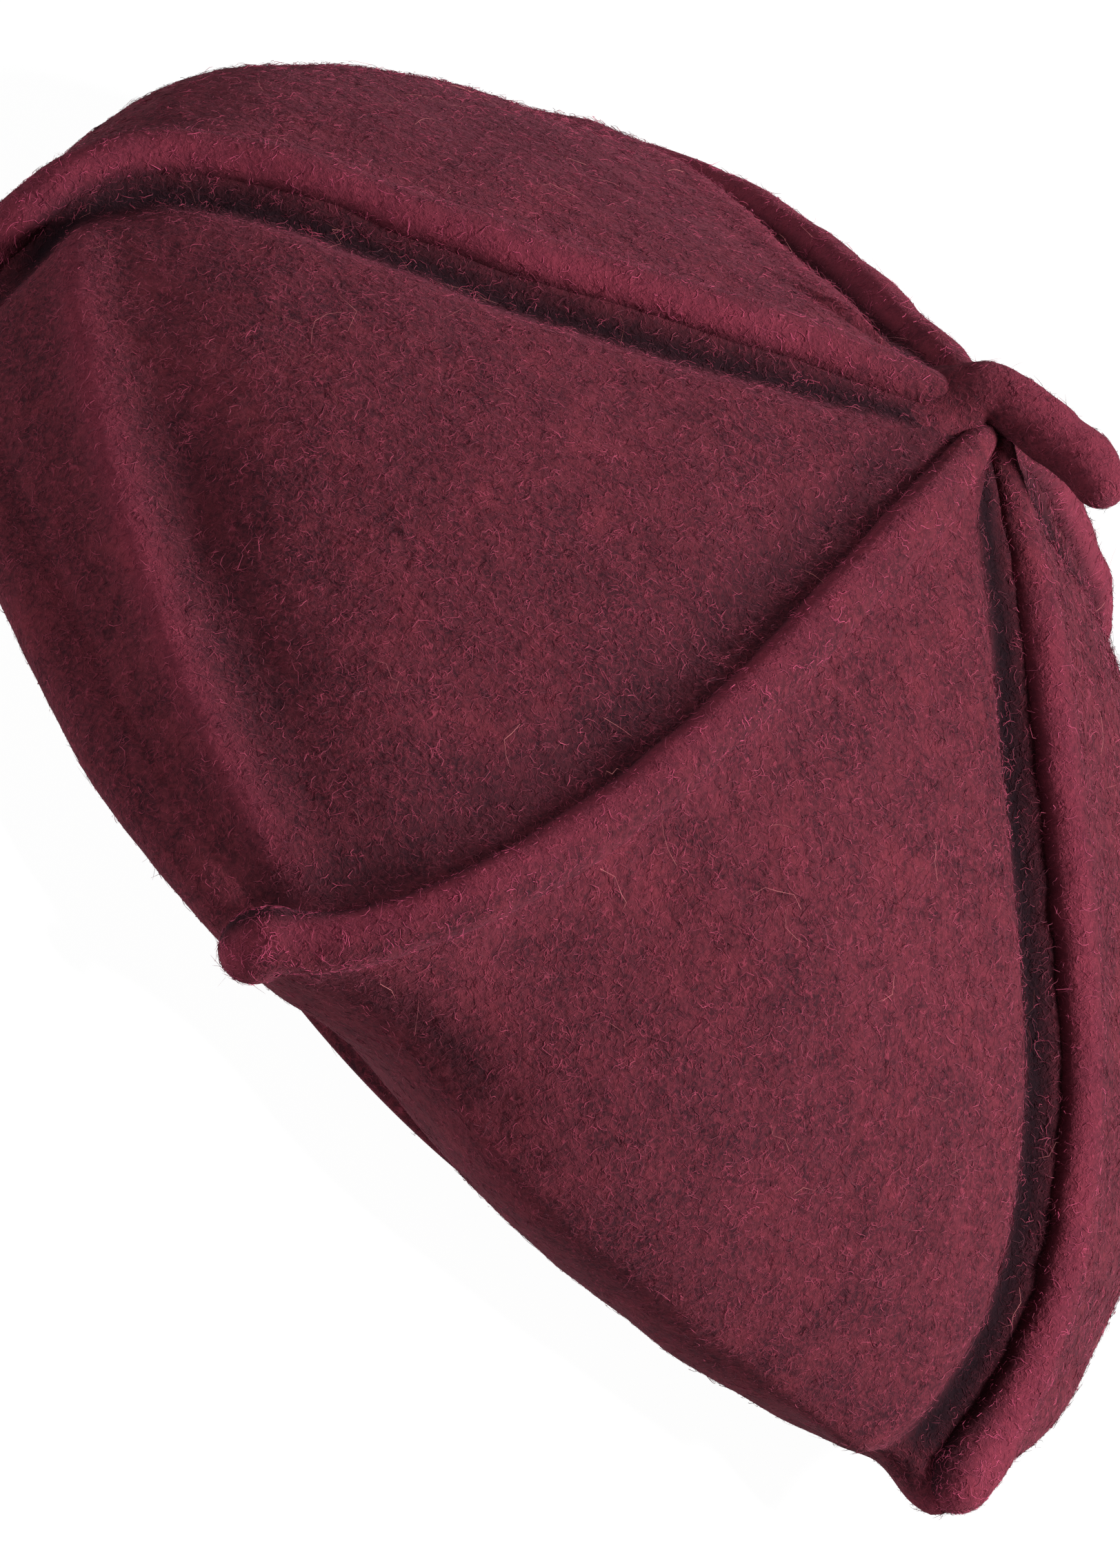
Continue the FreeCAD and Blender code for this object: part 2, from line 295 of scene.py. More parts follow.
def new_quads(name, verts_mm, quads):
    """A smooth mesh of many quads."""
    mesh = bpy.data.meshes.new(name)
    verts, quads = np.asarray(verts_mm, np.float32) * MM, np.asarray(quads, np.int32)
    mesh.vertices.add(len(verts))
    mesh.vertices.foreach_set("co", verts.reshape(-1))
    mesh.loops.add(quads.size)
    mesh.loops.foreach_set("vertex_index", quads.reshape(-1))
    mesh.polygons.add(len(quads))
    mesh.polygons.foreach_set("loop_start", np.arange(0, quads.size, 4, dtype=np.int32))
    mesh.polygons.foreach_set("use_smooth", np.ones(len(quads), bool))
    mesh.update(calc_edges=True)
    return link(name, mesh)


def mesh_arrays(obj):
    """A mesh's points in mm and its quads."""
    co = np.empty(len(obj.data.vertices) * 3, np.float32)
    obj.data.vertices.foreach_get("co", co)
    quads = [list(face.vertices) for face in obj.data.polygons if len(face.vertices) == 4]
    return co.reshape(-1, 3).astype(float) / MM, quads


def grid_faces(n_rows, n_cols, wrap=True):
    i = np.arange(n_rows - 1)[:, None]
    j = np.arange(n_cols if wrap else n_cols - 1)[None, :]
    a, b = i * n_cols + j, i * n_cols + (j + 1) % n_cols
    return np.stack([a, a + n_cols, b + n_cols, b], -1).reshape(-1, 4)


def attribute(obj, name, values):
    """A value at each point, which the felt material reads."""
    layer = obj.data.attributes.new(name, "FLOAT", "POINT")
    layer.data.foreach_set("value", np.asarray(values, np.float32).reshape(-1))


def tube(centres, radii, around):
    """Points and faces of a round body along centres, with flat closed ends."""
    tangent = unit(np.gradient(centres, axis=0))
    side = np.cross(tangent[0], [0, 0, 1.0] if abs(tangent[0][2]) < 0.9 else [1.0, 0, 0])
    a = 2 * math.pi * np.arange(around) / around
    cos, sin = np.cos(a)[:, None], np.sin(a)[:, None]
    rings = []
    for centre, radius, along in zip(centres, radii, tangent):
        side = unit(side - along * (side @ along))
        rings.append(centre + radius * (cos * side + sin * np.cross(along, side)))
    verts = np.concatenate(rings)
    ends = [list(range(around)), list(range(len(verts) - around, len(verts)))[::-1]]
    return verts, grid_faces(len(centres), around).tolist() + ends


def rounded_end(centres, radii, steps=9):
    """A tube's centres and radii with a hemispherical last end added."""
    along = unit(centres[-1] - centres[-2])
    turn = 0.5 * math.pi * np.arange(1, steps + 1) / steps * 0.995
    cap = centres[-1] + along * radii[-1] * np.sin(turn)[:, None]
    return np.concatenate([centres, cap]), np.concatenate([radii, radii[-1] * np.cos(turn)])


def smooth_line(points, count):
    """A Catmull-Rom line through a few points."""
    p = np.array(points, float)
    p = np.vstack([2 * p[0] - p[1], p, 2 * p[-1] - p[-2]])
    out = []
    for place in np.linspace(0, len(p) - 3 - 1e-9, count):
        i, f = int(place), place - int(place)
        a, b, c, d = p[i:i + 4]
        out.append(0.5 * (2 * b + (c - a) * f + (2 * a - 5 * b + 4 * c - d) * f * f
                          + (3 * b - a - 3 * c + d) * f ** 3))
    return np.array(out)


# ---- Materials -----------------------------------------------------------------------------------
class Nodes:
    """A short way to build a node material."""

    SOCKETS = {"color": "Base Color", "roughness": "Roughness", "normal": "Normal",
               "specular": "Specular IOR Level", "sheen": "Sheen Weight",
               "sheen_roughness": "Sheen Roughness", "sheen_tint": "Sheen Tint"}

    def __init__(self, name):
        self.mat = bpy.data.materials.new(name)
        self.mat.use_nodes = True
        self.tree = self.mat.node_tree
        self.bsdf = next(n for n in self.tree.nodes if n.type == "BSDF_PRINCIPLED")
        self.coord = self.tree.nodes.new("ShaderNodeTexCoord").outputs["Object"]

    def plug(self, socket, value):
        if isinstance(value, bpy.types.NodeSocket):
            self.tree.links.new(value, socket)
        else:
            socket.default_value = value

    def add(self, kind, inputs=None, **settings):
        node = self.tree.nodes.new(kind)
        for key, value in settings.items():
            setattr(node, key, value)
        for key, value in (inputs or {}).items():
            self.plug(node.inputs[key], value)
        return node

    def noise(self, wavelength_mm, detail=2.0, rough=0.55, distort=0.0, vector=None):
        inputs = {"Vector": vector or self.coord, "Scale": 1000.0 / wavelength_mm,
                  "Detail": detail, "Roughness": rough, "Distortion": distort}
        return self.add("ShaderNodeTexNoise", inputs).outputs["Fac"]

    def math(self, operation, a, b=0.0, c=0.0):
        return self.add("ShaderNodeMath", {0: a, 1: b, 2: c}, operation=operation).outputs[0]

    def vector(self, operation, a, b):
        return self.add("ShaderNodeVectorMath", {0: a, 1: b}, operation=operation).outputs[0]

    def ramp(self, value, low, high, out_low=0.0, out_high=1.0):
        inputs = {"Value": value, "From Min": low, "From Max": high, "To Min": out_low, "To Max": out_high}
        return self.add("ShaderNodeMapRange", inputs).outputs["Result"]

    def mix(self, factor, a, b):
        return self.add("ShaderNodeMix", {0: factor, 6: a, 7: b}, data_type="RGBA").outputs[2]

    def read(self, name):
        return self.add("ShaderNodeAttribute", attribute_name=name).outputs["Fac"]

    def turn_and_height(self):
        """The angle round the hat's axis, and z."""
        axes = self.add("ShaderNodeSeparateXYZ", {0: self.coord})
        return self.math("ARCTAN2", axes.outputs[1], axes.outputs[0]), axes.outputs[2]

    def bump(self, height, strength, distance):
        inputs = {"Height": height, "Strength": strength, "Distance": distance}
        return self.add("ShaderNodeBump", inputs).outputs["Normal"]

    def finish(self, **values):
        for key, value in values.items():
            self.plug(self.bsdf.inputs[self.SOCKETS[key]], value)
        return self.mat


def rgb(r, g, b):
    """An sRGB colour given in 0 to 255, as linear light."""
    linear = [((v / 255 + 0.055) / 1.055) ** 2.4 if v > 10 else v / 255 / 12.92 for v in (r, g, b)]
    return (*linear, 1.0)


def felt_material():
    """Felted wool: mottled colour in several sizes, curly fibres as thin contour lines, a soft nap, and
    painted highlights and painted shade read from the skin's masks.
    """
    m = Nodes("felted_wool")
    warp = m.add("ShaderNodeTexNoise", {"Vector": m.coord, "Scale": 1000.0 / 3.0, "Detail": 2.0})
    curly = m.vector("ADD", m.coord, m.vector("MULTIPLY", warp.outputs["Color"], (0.0016, 0.0016, 0.0016)))

    def strands(wavelength, width, offset):
        moved = m.vector("ADD", curly, (offset, offset * 0.7, -offset))
        level = m.noise(wavelength, 1.0, 0.4, 0.0, moved)
        return m.ramp(m.math("ABSOLUTE", m.math("SUBTRACT", level, 0.5)), 0.0, width, 1.0, 0.0)

    fine = m.math("MAXIMUM", strands(2.4, 0.016, 0.0), strands(1.7, 0.020, 0.013))
    coarse = strands(4.2, 0.012, 0.031)
    patch = m.noise(6.0, 4.0, 0.62, 0.8)
    grain = m.noise(0.8, 3.0, 0.7)

    colour = m.mix(m.ramp(m.noise(34.0, 3.0, 0.6, 0.4), 0.36, 0.66), rgb(54, 23, 30), rgb(72, 28, 36))
    colour = m.mix(m.ramp(m.noise(11.0, 3.0, 0.6, 0.6), 0.48, 0.70, 0.0, 0.28), colour, rgb(104, 38, 46))
    colour = m.mix(m.ramp(patch, 0.44, 0.66, 0.0, 0.62), colour, rgb(28, 15, 20))
    colour = m.mix(m.ramp(m.noise(2.2, 3.0, 0.65, 0.5), 0.48, 0.66, 0.0, 0.48), colour, rgb(30, 16, 22))
    colour = m.mix(m.ramp(grain, 0.42, 0.68, 0.0, 0.55), colour, rgb(96, 36, 46))
    colour = m.mix(m.math("MULTIPLY", fine, 0.45), colour, rgb(124, 48, 64))
    colour = m.mix(m.math("MULTIPLY", coarse, 0.42), colour, rgb(20, 12, 17))
    # painted highlight: lighter pink on crests and roll tops where light falls
    colour = m.mix(m.math("MULTIPLY", m.read("crest_highlight"), 0.42), colour, rgb(122, 44, 62))
    # painted shade: near-black in creases, hollows and round the stalk's root, where shade falls
    colour = m.mix(m.math("MULTIPLY", m.read("crease_shade"), 0.95), colour, rgb(12, 8, 12))

    relief = m.math("ADD", m.math("MULTIPLY", grain, 0.55), m.math("MULTIPLY", fine, 0.30))
    relief = m.math("ADD", relief, m.math("MULTIPLY", m.noise(2.6, 3.0, 0.6), 0.9))
    return m.finish(color=colour, roughness=1.0, normal=m.bump(relief, 0.6, 0.0011), sheen=0.10,
                    sheen_roughness=0.5, sheen_tint=rgb(226, 118, 145), specular=0.05)


def fibre_material(name, low, high):
    m = Nodes(name)
    colour = m.mix(m.ramp(m.noise(3.0, 2.0), 0.35, 0.65), low, high)
    return m.finish(color=colour, roughness=0.8, sheen=0.2, sheen_roughness=0.4,
                    sheen_tint=rgb(230, 120, 160), specular=0.15)


def ribbon_material():
    """Grosgrain: fine upright ribs round the ring, with a slightly uneven dye."""
    m = Nodes("grosgrain_ribbon")
    turn, height = m.turn_and_height()
    rib = m.math("SINE", m.math("MULTIPLY", turn, 900.0))
    thread = m.math("SINE", m.math("MULTIPLY", height, 16000.0))
    colour = m.mix(m.ramp(rib, -1.0, 1.0), rgb(18, 9, 13), rgb(54, 26, 36))
    colour = m.mix(m.ramp(m.noise(20.0, 3.0), 0.4, 0.75, 0.0, 0.4), colour, rgb(70, 36, 48))
    relief = m.math("ADD", rib, m.math("MULTIPLY", thread, 0.25))
    return m.finish(color=colour, roughness=0.62, normal=m.bump(relief, 0.6, 0.0003), sheen=0.25,
                    sheen_roughness=0.4, sheen_tint=rgb(200, 150, 170), specular=0.3)


def thread_material():
    m = Nodes("sewing_thread")
    inputs = {"Vector": m.coord, "Scale": 1400.0, "Distortion": 1.0}
    twist = m.add("ShaderNodeTexWave", inputs).outputs["Fac"]
    colour = m.mix(twist, rgb(84, 34, 48), rgb(132, 62, 82))
    return m.finish(color=colour, roughness=0.55, normal=m.bump(twist, 0.5, 0.0001), sheen=0.2, specular=0.3)


def label_material():
    """Blank woven satin with a fine weave."""
    m = Nodes("woven_label")
    turn, height = m.turn_and_height()
    weft = m.math("SINE", m.math("MULTIPLY", height, 21000.0))
    warp = m.math("SINE", m.math("MULTIPLY", turn, 1500.0))
    weave = m.math("MULTIPLY", weft, warp)
    colour = m.mix(m.ramp(weave, -1.0, 1.0), rgb(178, 170, 156), rgb(224, 218, 204))
    colour = m.mix(m.ramp(m.noise(9.0), 0.4, 0.8, 0.0, 0.5), colour, rgb(190, 176, 158))
    return m.finish(color=colour, roughness=0.5, normal=m.bump(weave, 0.5, 0.0001), sheen=0.2, specular=0.35)


# ---- Pieces --------------------------------------------------------------------------------------
def finish_piece(obj, material, stands_for=None):
    """A piece that rides on the crown, with its material."""
    obj.data.materials.append(material)
    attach(obj, "crown")
    if stands_for:
        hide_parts(stands_for)
    return obj


def ring(radius, z, like):
    """A level ring of points at the same angles as the given ones."""
    a = np.arctan2(like[:, 1], like[:, 0])
    return np.stack([radius * np.cos(a), radius * np.sin(a), np.full(len(a), z)], -1)


def shell_outside(skin_grid, felt):
    """Crown, rim, underside and the upright collar round the head opening."""
    p = skin_grid.p
    collar = [(EDGE_OUT, 2.2), (EDGE_OUT - 0.1, 1.0), (EDGE_OUT - 0.7, 0.25), (EDGE_OUT - 1.3, 0.02),
              (EDGE_IN + 0.6, 0.25), (EDGE_IN + 0.1, 1.0), (EDGE_IN + 0.05, 3.0), (EDGE_IN + 0.05, 6.5)]
    rings = np.array([ring(r, z, p[-1]) for r, z in collar])
    whole = np.concatenate([p, rings])
    obj = new_mesh("felt_shell_outside", whole.reshape(-1, 3), grid_faces(len(whole), whole.shape[1]))
    plain = np.zeros(rings.shape[:2])
    # painted shade: a dark disc round the stalk's root at the apex
    shade_round_stalk = bell(np.linalg.norm(p[..., :2], axis=-1), 0.0, 13.0)
    attribute(obj, "crease_shade", np.concatenate([np.maximum(skin_grid.crease_shade, shade_round_stalk), plain]))
    attribute(obj, "crest_highlight", np.concatenate([skin_grid.crest_highlight, plain]))
    return finish_piece(obj, felt, "felt_shell")


def shell_inside(skin_grid, felt):
    """The inner face of the same skin, seen through the head opening, on every third row and column."""
    p, n, t, off = skin_grid.p, skin_grid.n, skin_grid.t, skin_grid.off
    rows = np.r_[0:len(p):3, len(p) - 1]
    thick = FELT_T + 5.2 * bell(off, 0.0, 7.0) * np.clip((1.25 - t) / 0.2, 0, 1)     # more behind the rolls
    inner = (p - n * thick[..., None])[rows][:, ::3]
    inner[-1] = ring(EDGE_IN + 0.4, COLLAR_H + FELT_T, inner[-1])
    inner += 0.25 * noise3(inner, 22.0, 11)[..., None] * n[rows][:, ::3]
    columns = inner.shape[1]
    top = np.array([[0.0, 0.0, inner[0][:, 2].mean()]])
    verts = np.concatenate([inner.reshape(-1, 3), top])
    faces = grid_faces(len(inner), columns)[:, ::-1].tolist()
    faces += [[len(verts) - 1, j, (j + 1) % columns] for j in range(columns)]
    return finish_piece(new_mesh("felt_shell_inside", verts, faces), felt)


def ridge_roll(number, skin_grid, felt):
    """One felted roll, from beside the stalk over the crown to its round nub below the rim."""
    column = number * (skin_grid.p.shape[1] // 5)
    t = np.linspace(ROLL_START, ROLL_END[number], 96)

    def along_ridge(values):
        line = np.stack([np.interp(t, skin_grid.t[:, column], values[:, column, k]) for k in range(3)], -1)
        for _ in range(12):
            line[1:-1] = (line[:-2] + 2 * line[1:-1] + line[2:]) / 4
        return line

    base, normal = along_ridge(skin_grid.p), unit(along_ridge(skin_grid.n))
    side = unit(np.cross(normal, np.gradient(base, axis=0)))
    grown = np.sin(0.5 * math.pi * np.clip((t - 0.01) / 0.16, 0, 1))
    nub = bell(t, ROLL_END[number], NUB_LENGTH[number])
    tip = ROLL_TIP[number]
    radius = (ROLL_R + 0.35 * noise3(base, 34.0, 30 + number)) * (tip + (1 - tip) * grown)
    radius = radius + NUB_SWELL[number] * nub
    lift = -ROLL_SINK[number] * grown - 0.6 + NUB_LIFT[number] * nub
    sway = 0.7 * noise3(base, 60.0, 20 + number)
    centre, radius = rounded_end(base + normal * lift[:, None] + side * sway[:, None], radius)
    centre, radius = (a[::-1] for a in rounded_end(centre[::-1], radius[::-1]))

    around = 30
    verts, faces = tube(centre, radius, around)
    out = unit(verts.reshape(len(centre), around, 3) - centre[:, None, :])
    cap = (len(centre) - len(t)) // 2
    upward, sideways = [np.pad(way, ((cap, cap), (0, 0)), "edge")[:, None, :] for way in (normal, side)]
    top, flank = (out * upward).sum(2), (out * sideways).sum(2)
    name = "ridge_roll_%d" % (number + 1)
    obj = new_mesh(name, verts + 0.16 * noise3(verts, 9.0, 40 + number)[:, None], faces)
    # painted shade down the roll's creased flank, and a painted highlight along its top
    gain, start = ROLL_SHADE[number]
    attribute(obj, "crease_shade", np.clip(-SOFT_SIDE[number] * flank * gain - start, 0, 1))
    from_tip = np.clip((np.pad(t, cap, "edge") - 0.05) / 0.14, 0, 1)[:, None]
    attribute(obj, "crest_highlight", 0.75 * from_tip * np.clip((top - 0.25) / 0.75, 0, 1))
    return finish_piece(obj, felt, name)


def finish_bending(obj, material):
    """A piece with its transform baked into its points, and its material."""
    obj.data.materials.append(material)
    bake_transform(obj)


def stalk(felt):
    line = smooth_line([APEX + LEAN_DIR * out + np.array([0, 0, z]) for out, z in STALK_LINE], 44)
    radii = smooth_line([(r, 0, 0) for r in STALK_RADII], 44)[:, 0]
    verts, faces = tube(*rounded_end(line, radii + 0.22 * noise3(line, 12.0, 50)), 34)
    verts = verts + 0.18 * noise3(verts, 7.0, 51)[:, None]
    obj = new_mesh("stalk", verts, faces)
    # painted highlight: the stalk's upper part is lighter where light falls on it
    attribute(obj, "crest_highlight", np.clip((verts[:, 2] - CROWN_H - 2.0) / 9.0, 0, 1) * 0.7)
    finish_bending(obj, felt)
    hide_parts("stalk")
    return obj


def stalk_foot(felt):
    """The root's spread foot inside the crown: a soft uneven disc of wool."""
    rings, around = 9, 64
    a = 2 * math.pi * np.arange(around) / around
    uneven = 1 + 0.05 * np.sin(5 * a + 1) + 0.03 * np.sin(11 * a)
    circles = []
    for side in (1, -1):
        for k in range(rings):
            r = FOOT_R * (k + 0.5) / rings * uneven
            half = FOOT_HALF_T * np.sqrt(np.clip(1 - (r / (FOOT_R + 1.0)) ** 2, 0, 1))
            z = CROWN_H - FOOT_DOWN - 0.06 * r + side * half
            circles.append(np.stack([r * np.cos(a), r * np.sin(a), z], -1))
    sheet = np.array(circles[:rings] + circles[rings:][::-1])
    last = len(sheet) * around
    faces = grid_faces(len(sheet), around).tolist()
    faces += [list(range(around)), list(range(last - around, last))[::-1]]
    return finish_piece(new_mesh("stalk_root", sheet.reshape(-1, 3), faces), felt, "stalk_root")


def sweatband(ribbon):
    """The ribbon, with a gently uneven upper edge."""
    around = 720
    a = 2 * math.pi * np.arange(around) / around
    sway = 0.12 * np.sin(9 * a) + 0.08 * np.sin(23 * a + 2)
    profile = [(0.10, 0.35), (0.02, 0.7), (0.02, 2.2), (0.40, 2.8), (0.42, 3.2), (0.02, 3.8), (0.02, 12.0),
               (0.02, 24.2), (0.12, 24.8), (0.4, 24.95), (0.7, 24.7), (0.78, 12.0), (0.78, 0.7), (0.5, 0.3)]
    sections = []
    for depth, z in profile:
        drift = sway * max(0.0, (z - 10) / 15)
        radius = HEAD_R + depth + np.clip(drift, -0.02, 0.2)
        sections.append(np.stack([radius * np.cos(a), radius * np.sin(a), z + 0.6 * drift], -1))
    count = len(sections) * around
    faces = grid_faces(len(sections) + 1, around) % count
    obj = new_mesh("sweatband", np.concatenate(sections), faces)
    return finish_piece(obj, ribbon, "sweatband")


def thicken(obj, thickness, offset):
    layer = obj.modifiers.new("thickness", "SOLIDIFY")
    layer.thickness, layer.offset = thickness * MM, offset


def sweatband_lap(ribbon):
    """One end of the ribbon lapped over the other at the back."""
    rows, columns = 14, 30
    angles = LAP_ANGLE + np.linspace(-LAP_HALF_TURN, LAP_HALF_TURN, columns)
    radii = HEAD_R - 0.42 + 0.35 * np.abs(np.linspace(-1, 1, columns)) ** 6
    grid = [np.stack([radii * np.cos(angles), radii * np.sin(angles), np.full(columns, z)], -1)
            for z in np.linspace(0.6, 24.6, rows)]
    obj = new_mesh("sweatband_lap", np.concatenate(grid), grid_faces(rows, columns, wrap=False))
    thicken(obj, 0.35, 1.0)
    return finish_piece(obj, ribbon)


def stitches():
    """Running stitches sunk into the ribbon, each bowed, tapered at its ends and a little uneven."""
    verts, faces, first = [], [], 0
    along = np.linspace(-0.5, 0.5, 9)
    radius = HEAD_R + 0.06 + 0.32 * (2 * np.abs(along)) ** 4
    thickness = STITCH_R * np.sqrt(1 - (2 * np.abs(along)) ** 6 * 0.8)
    for number in range(STITCHES):
        length = STITCH_L + rng.uniform(-0.35, 0.35)
        tilt = rng.uniform(-0.12, 0.12)
        turn = 2 * math.pi * (number + 0.5) / STITCHES + along * length / HEAD_R
        line = np.stack([radius * np.cos(turn), radius * np.sin(turn), STITCH_Z + along * tilt * 2], -1)
        points, own_faces = tube(line, thickness, 8)
        faces += [[first + k for k in face] for face in own_faces]
        verts.append(points)
        first += len(points)
    obj = new_mesh("sweatband_stitches", np.concatenate(verts), faces)
    return finish_piece(obj, thread_material(), "sweatband_stitches")


def size_label():
    """A blank woven label, standing up behind the ribbon and leaning in above it."""
    columns, rows = 25, 31
    across = np.linspace(-0.5, 0.5, columns)
    turn = LABEL_ANGLE + across * LABEL_W / (EDGE_IN + 0.1)
    grid = []
    for z in np.linspace(LABEL_Z + 0.3, LABEL_Z + LABEL_H - 0.3, rows):
        up = max(0.0, (z - 26.0) / 12.0)
        r = EDGE_IN + 0.12 - up ** 1.5 * 1.3 + 0.15 * up * np.cos(across * 9.0)
        grid.append(np.stack([r * np.cos(turn), r * np.sin(turn), z - up * 0.5 * across * across], -1))
    obj = new_mesh("size_label", np.concatenate(grid), grid_faces(rows, columns, wrap=False))
    thicken(obj, 0.3, 0.0)
    finish_piece(obj, label_material(), "size_label")


# ---- Loose wool on the surface -------------------------------------------------------------------
def surface_samples(obj, count, gen, weight=None):
    """Random points on a mesh's quads, evenly by area, with their normals."""
    verts, quads = mesh_arrays(obj)
    corners = verts[np.asarray(quads)]
    a, b, c, d = (corners[:, k] for k in range(4))
    cross = np.cross(c - a, d - b)
    area = np.linalg.norm(cross, axis=1) / 2
    odds = area * (weight(corners.mean(1)[:, 2]) if weight else 1.0)
    pick = gen.choice(len(quads), count, p=odds / odds.sum())
    s, t = gen.random((count, 1)), gen.random((count, 1))
    p = (a[pick] * (1 - s) + b[pick] * s) * (1 - t) + (d[pick] * (1 - s) + c[pick] * s) * t
    return p, (cross / np.maximum(2 * area[:, None], 1e-12))[pick]


def fibres(p, n, gen, length, width, rise, curl=0.5, segments=4):
    """Flat curled strips lying in the nap, as points and faces."""
    count = len(p)
    tangent = unit(np.cross(n, gen.normal(size=(count, 3))))
    side = np.cross(n, tangent)
    size = gen.uniform(length[0], length[1], (count, 1))
    high = gen.gamma(2.0, rise / 2.0, (count, 1)) * np.clip(p[:, 2:] / 70.0, 0.35, 1.0)
    bend = gen.normal(size=(count, 1)) * curl * size
    hook = gen.normal(size=(count, 1)) * curl * size * 0.6
    points = []
    for f in np.arange(segments + 1) / segments:
        aside = bend * f * f + hook * math.sin(3.0 * math.pi * f) * 0.3
        up = high * math.sin(math.pi * min(1.0, 0.12 + 0.75 * f)) ** 0.8 - 0.25 * (1 - f)
        points.append(p + tangent * size * (f - 0.35 * f ** 3) + side * aside + n * up)
    line = np.stack(points, 1)
    roll = gen.uniform(0, math.pi, (count, 1, 1))
    across = np.cross(np.gradient(line, axis=1), n[:, None, :])
    across /= np.maximum(np.linalg.norm(across, axis=2, keepdims=True), 1e-9)
    across = across * np.cos(roll) + n[:, None, :] * np.sin(roll)
    taper = np.array([1.0, 1.0, 0.9, 0.7, 0.25])[None, :segments + 1, None]
    half = across * width * taper * gen.uniform(0.7, 1.3, (count, 1, 1)) / 2
    strip = np.stack([line - half, line + half], 2).reshape(-1, 3)
    strip[:, 2] = np.maximum(strip[:, 2], 0.2)      # clear of the floor
    quad = np.array([[2 * k, 2 * k + 1, 2 * k + 3, 2 * k + 2] for k in range(segments)])
    step = 2 * (segments + 1)
    return strip, (quad[None] + (np.arange(count) * step)[:, None, None]).reshape(-1, 4)


def nap(shell, rolls, stalk_piece):
    """The fuzz: short curled fibres all over, and a few long stray ones on the crown."""
    red = fibre_material("wool_fibre", rgb(52, 20, 29), rgb(132, 50, 70))
    # the rolls' fuzz is longer, and its brighter colours are a painted highlight for rim light on the fuzz
    lit_fibre = fibre_material("lit_roll_fibre", rgb(92, 32, 48), rgb(158, 60, 88))
    stray = fibre_material("stray_fibre", rgb(110, 50, 58), rgb(150, 90, 88))

    def thinner_below(z):
        return np.where(z > 8.0, np.where(z > 22.0, 1.0, 0.6), 0.15)

    def crown_only(z):
        return (z > 30.0) * 1.0

    for part in range(1, 5):
        gen = np.random.default_rng(99 + part)
        p, n = surface_samples(shell, 23000, gen, thinner_below)
        obj = new_quads("shell_nap_%d" % part, *fibres(p, n, gen, (1.2, 3.6), 0.085, 0.36))
        finish_piece(obj, red)
    gen = np.random.default_rng(200)
    for number, roll in enumerate(rolls, 1):
        p, n = surface_samples(roll, 7000, gen)
        obj = new_quads("roll_nap_%d" % number, *fibres(p, n, gen, (1.2, 3.6), 0.085, 0.62))
        finish_piece(obj, lit_fibre)
    p, n = surface_samples(stalk_piece, 2400, gen)
    finish_bending(new_quads("stalk_nap", *fibres(p, n, gen, (1.0, 3.4), 0.085, 0.45)), red)
    p, n = surface_samples(shell, 260, gen, crown_only)
    obj = new_quads("stray_hairs", *fibres(p, n, gen, (5.0, 13.0), 0.06, 0.9, curl=0.35))
    finish_piece(obj, stray)


# ---- Stage, light and camera (metres) ------------------------------------------------------------
WHITE = (1.0, 1.0, 1.0, 1.0)
AZIMUTH, ELEVATION, ROLL = math.radians(-6.1), math.radians(24.0), math.radians(53.24)
BACK = Vector((math.sin(AZIMUTH) * math.cos(ELEVATION), -math.cos(AZIMUTH) * math.cos(ELEVATION),
               math.sin(ELEVATION)))
RIGHT = Vector((math.cos(AZIMUTH), math.sin(AZIMUTH), 0.0))
VIEW_UP = BACK.cross(RIGHT)
CAMERA_FROM_APEX = RIGHT * 0.0045 - VIEW_UP * 0.0902 + BACK * 1.4
LIT_PLACE = Vector((0, 0, 0.06))


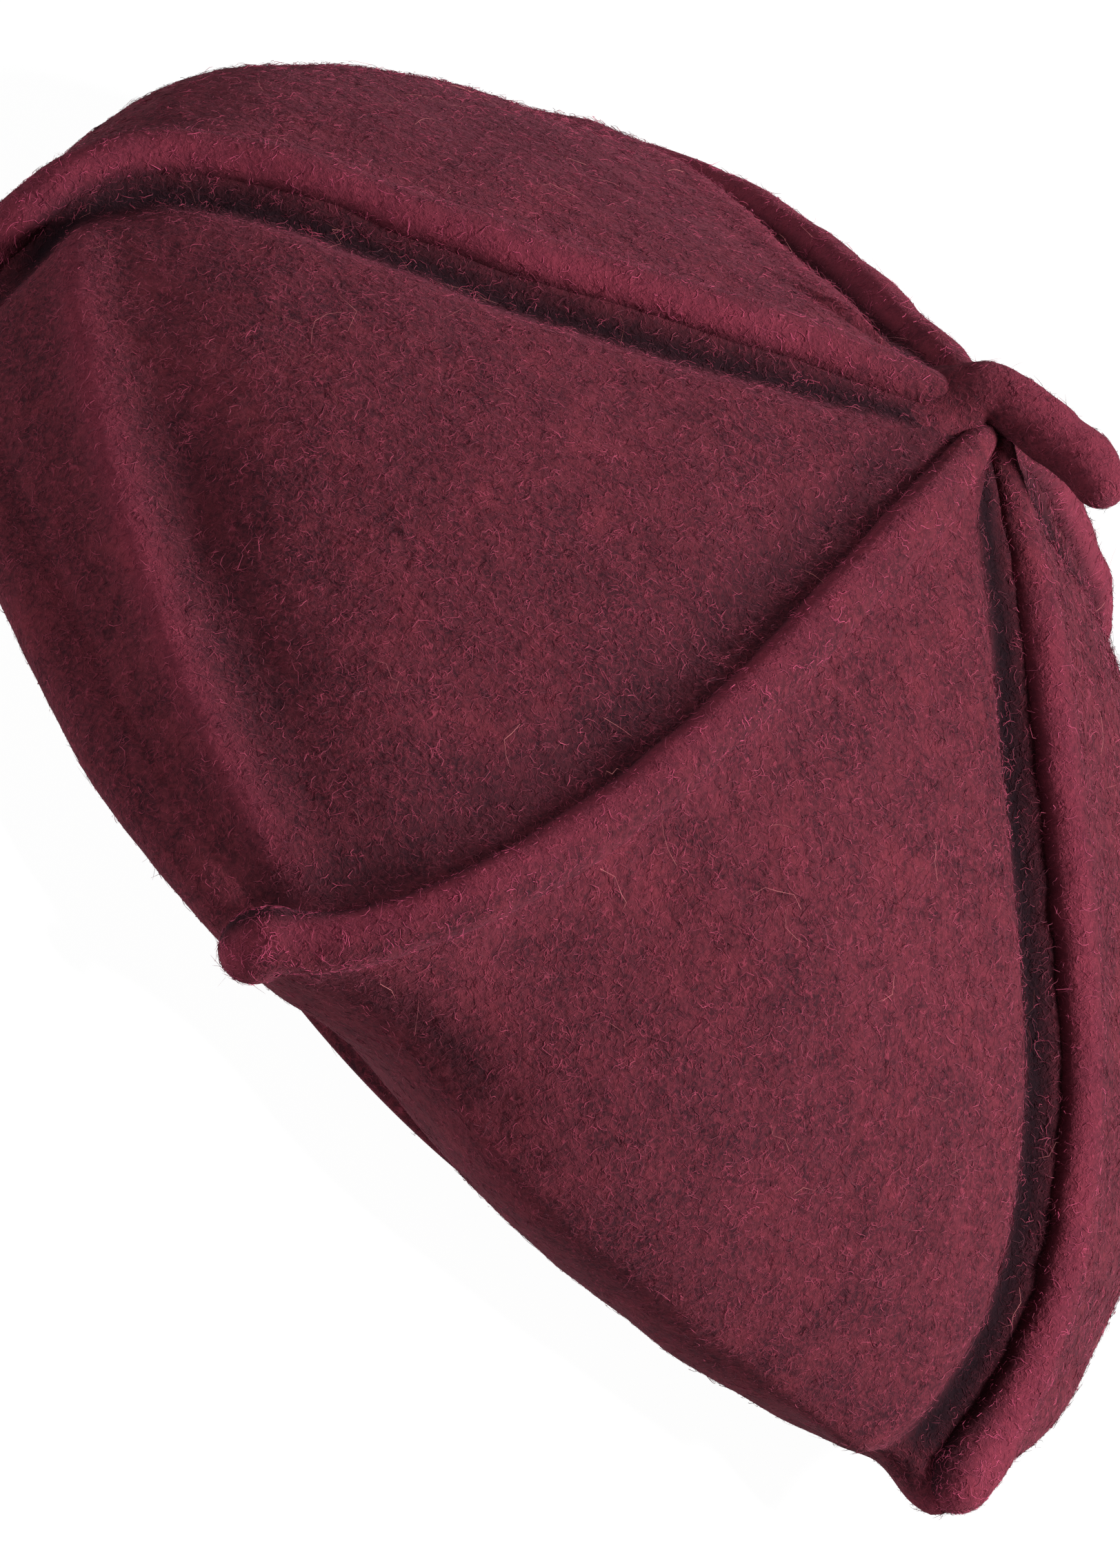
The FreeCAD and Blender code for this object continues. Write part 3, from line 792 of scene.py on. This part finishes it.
def stage():
    size = 6.0
    mesh = bpy.data.meshes.new("floor")
    corners = [(-size, -size, 0), (size, -size, 0), (size, size, 0), (-size, size, 0)]
    mesh.from_pydata(corners, [], [(0, 1, 2, 3)])
    m = Nodes("pale_floor")
    m.finish(color=(0.04, 0.04, 0.04, 1.0), roughness=1.0, specular=0.0)
    m.bsdf.inputs["Emission Color"].default_value = WHITE
    m.bsdf.inputs["Emission Strength"].default_value = 0.98
    mesh.materials.append(m.mat)
    link("floor", mesh)


def camera():
    data = bpy.data.cameras.new("camera")
    data.lens, data.sensor_width, data.clip_end = 200.8, 36.0, 30.0
    obj = link("camera", data)
    image_x = RIGHT * math.cos(ROLL) + VIEW_UP * math.sin(ROLL)
    image_y = -RIGHT * math.sin(ROLL) + VIEW_UP * math.cos(ROLL)
    turn = Matrix((image_x, image_y, BACK)).transposed().to_4x4()
    obj.matrix_world = Matrix.Translation(Vector(APEX * MM) + CAMERA_FROM_APEX) @ turn
    bpy.context.scene.camera = obj


def area_light(name, way, distance, size, watts):
    data = bpy.data.lights.new(name, "AREA")
    data.shape, data.size, data.energy = "DISK", size, watts
    obj = link(name, data)
    obj.location = LIT_PLACE + way.normalized() * distance
    obj.rotation_mode = "QUATERNION"
    obj.rotation_quaternion = (LIT_PLACE - obj.location).to_track_quat("-Z", "Y")


def lights():
    area_light("key", RIGHT * 0.60 + VIEW_UP * 0.76 + BACK * 0.34, 1.6, 0.36, 77.0)
    area_light("fill", -RIGHT * 0.85 - VIEW_UP * 0.20 + BACK * 0.70, 1.8, 0.8, 22.0)
    world = bpy.data.worlds.new("studio")
    world.use_nodes = True
    background = next(n for n in world.node_tree.nodes if n.type == "BACKGROUND")
    background.inputs["Color"].default_value = WHITE
    background.inputs["Strength"].default_value = 0.08
    bpy.context.scene.world = world
    bpy.context.scene.view_settings.view_transform = "Standard"


def main():
    felt, ribbon = felt_material(), ribbon_material()
    skin_grid = outer_skin()
    shell = shell_outside(skin_grid, felt)
    shell_inside(skin_grid, felt)
    rolls = [ridge_roll(number, skin_grid, felt) for number in range(5)]
    stalk_piece = stalk(felt)
    stalk_foot(felt)
    sweatband(ribbon)
    sweatband_lap(ribbon)
    stitches()
    size_label()
    nap(shell, rolls, stalk_piece)
    stage()
    lights()
    camera()


main()
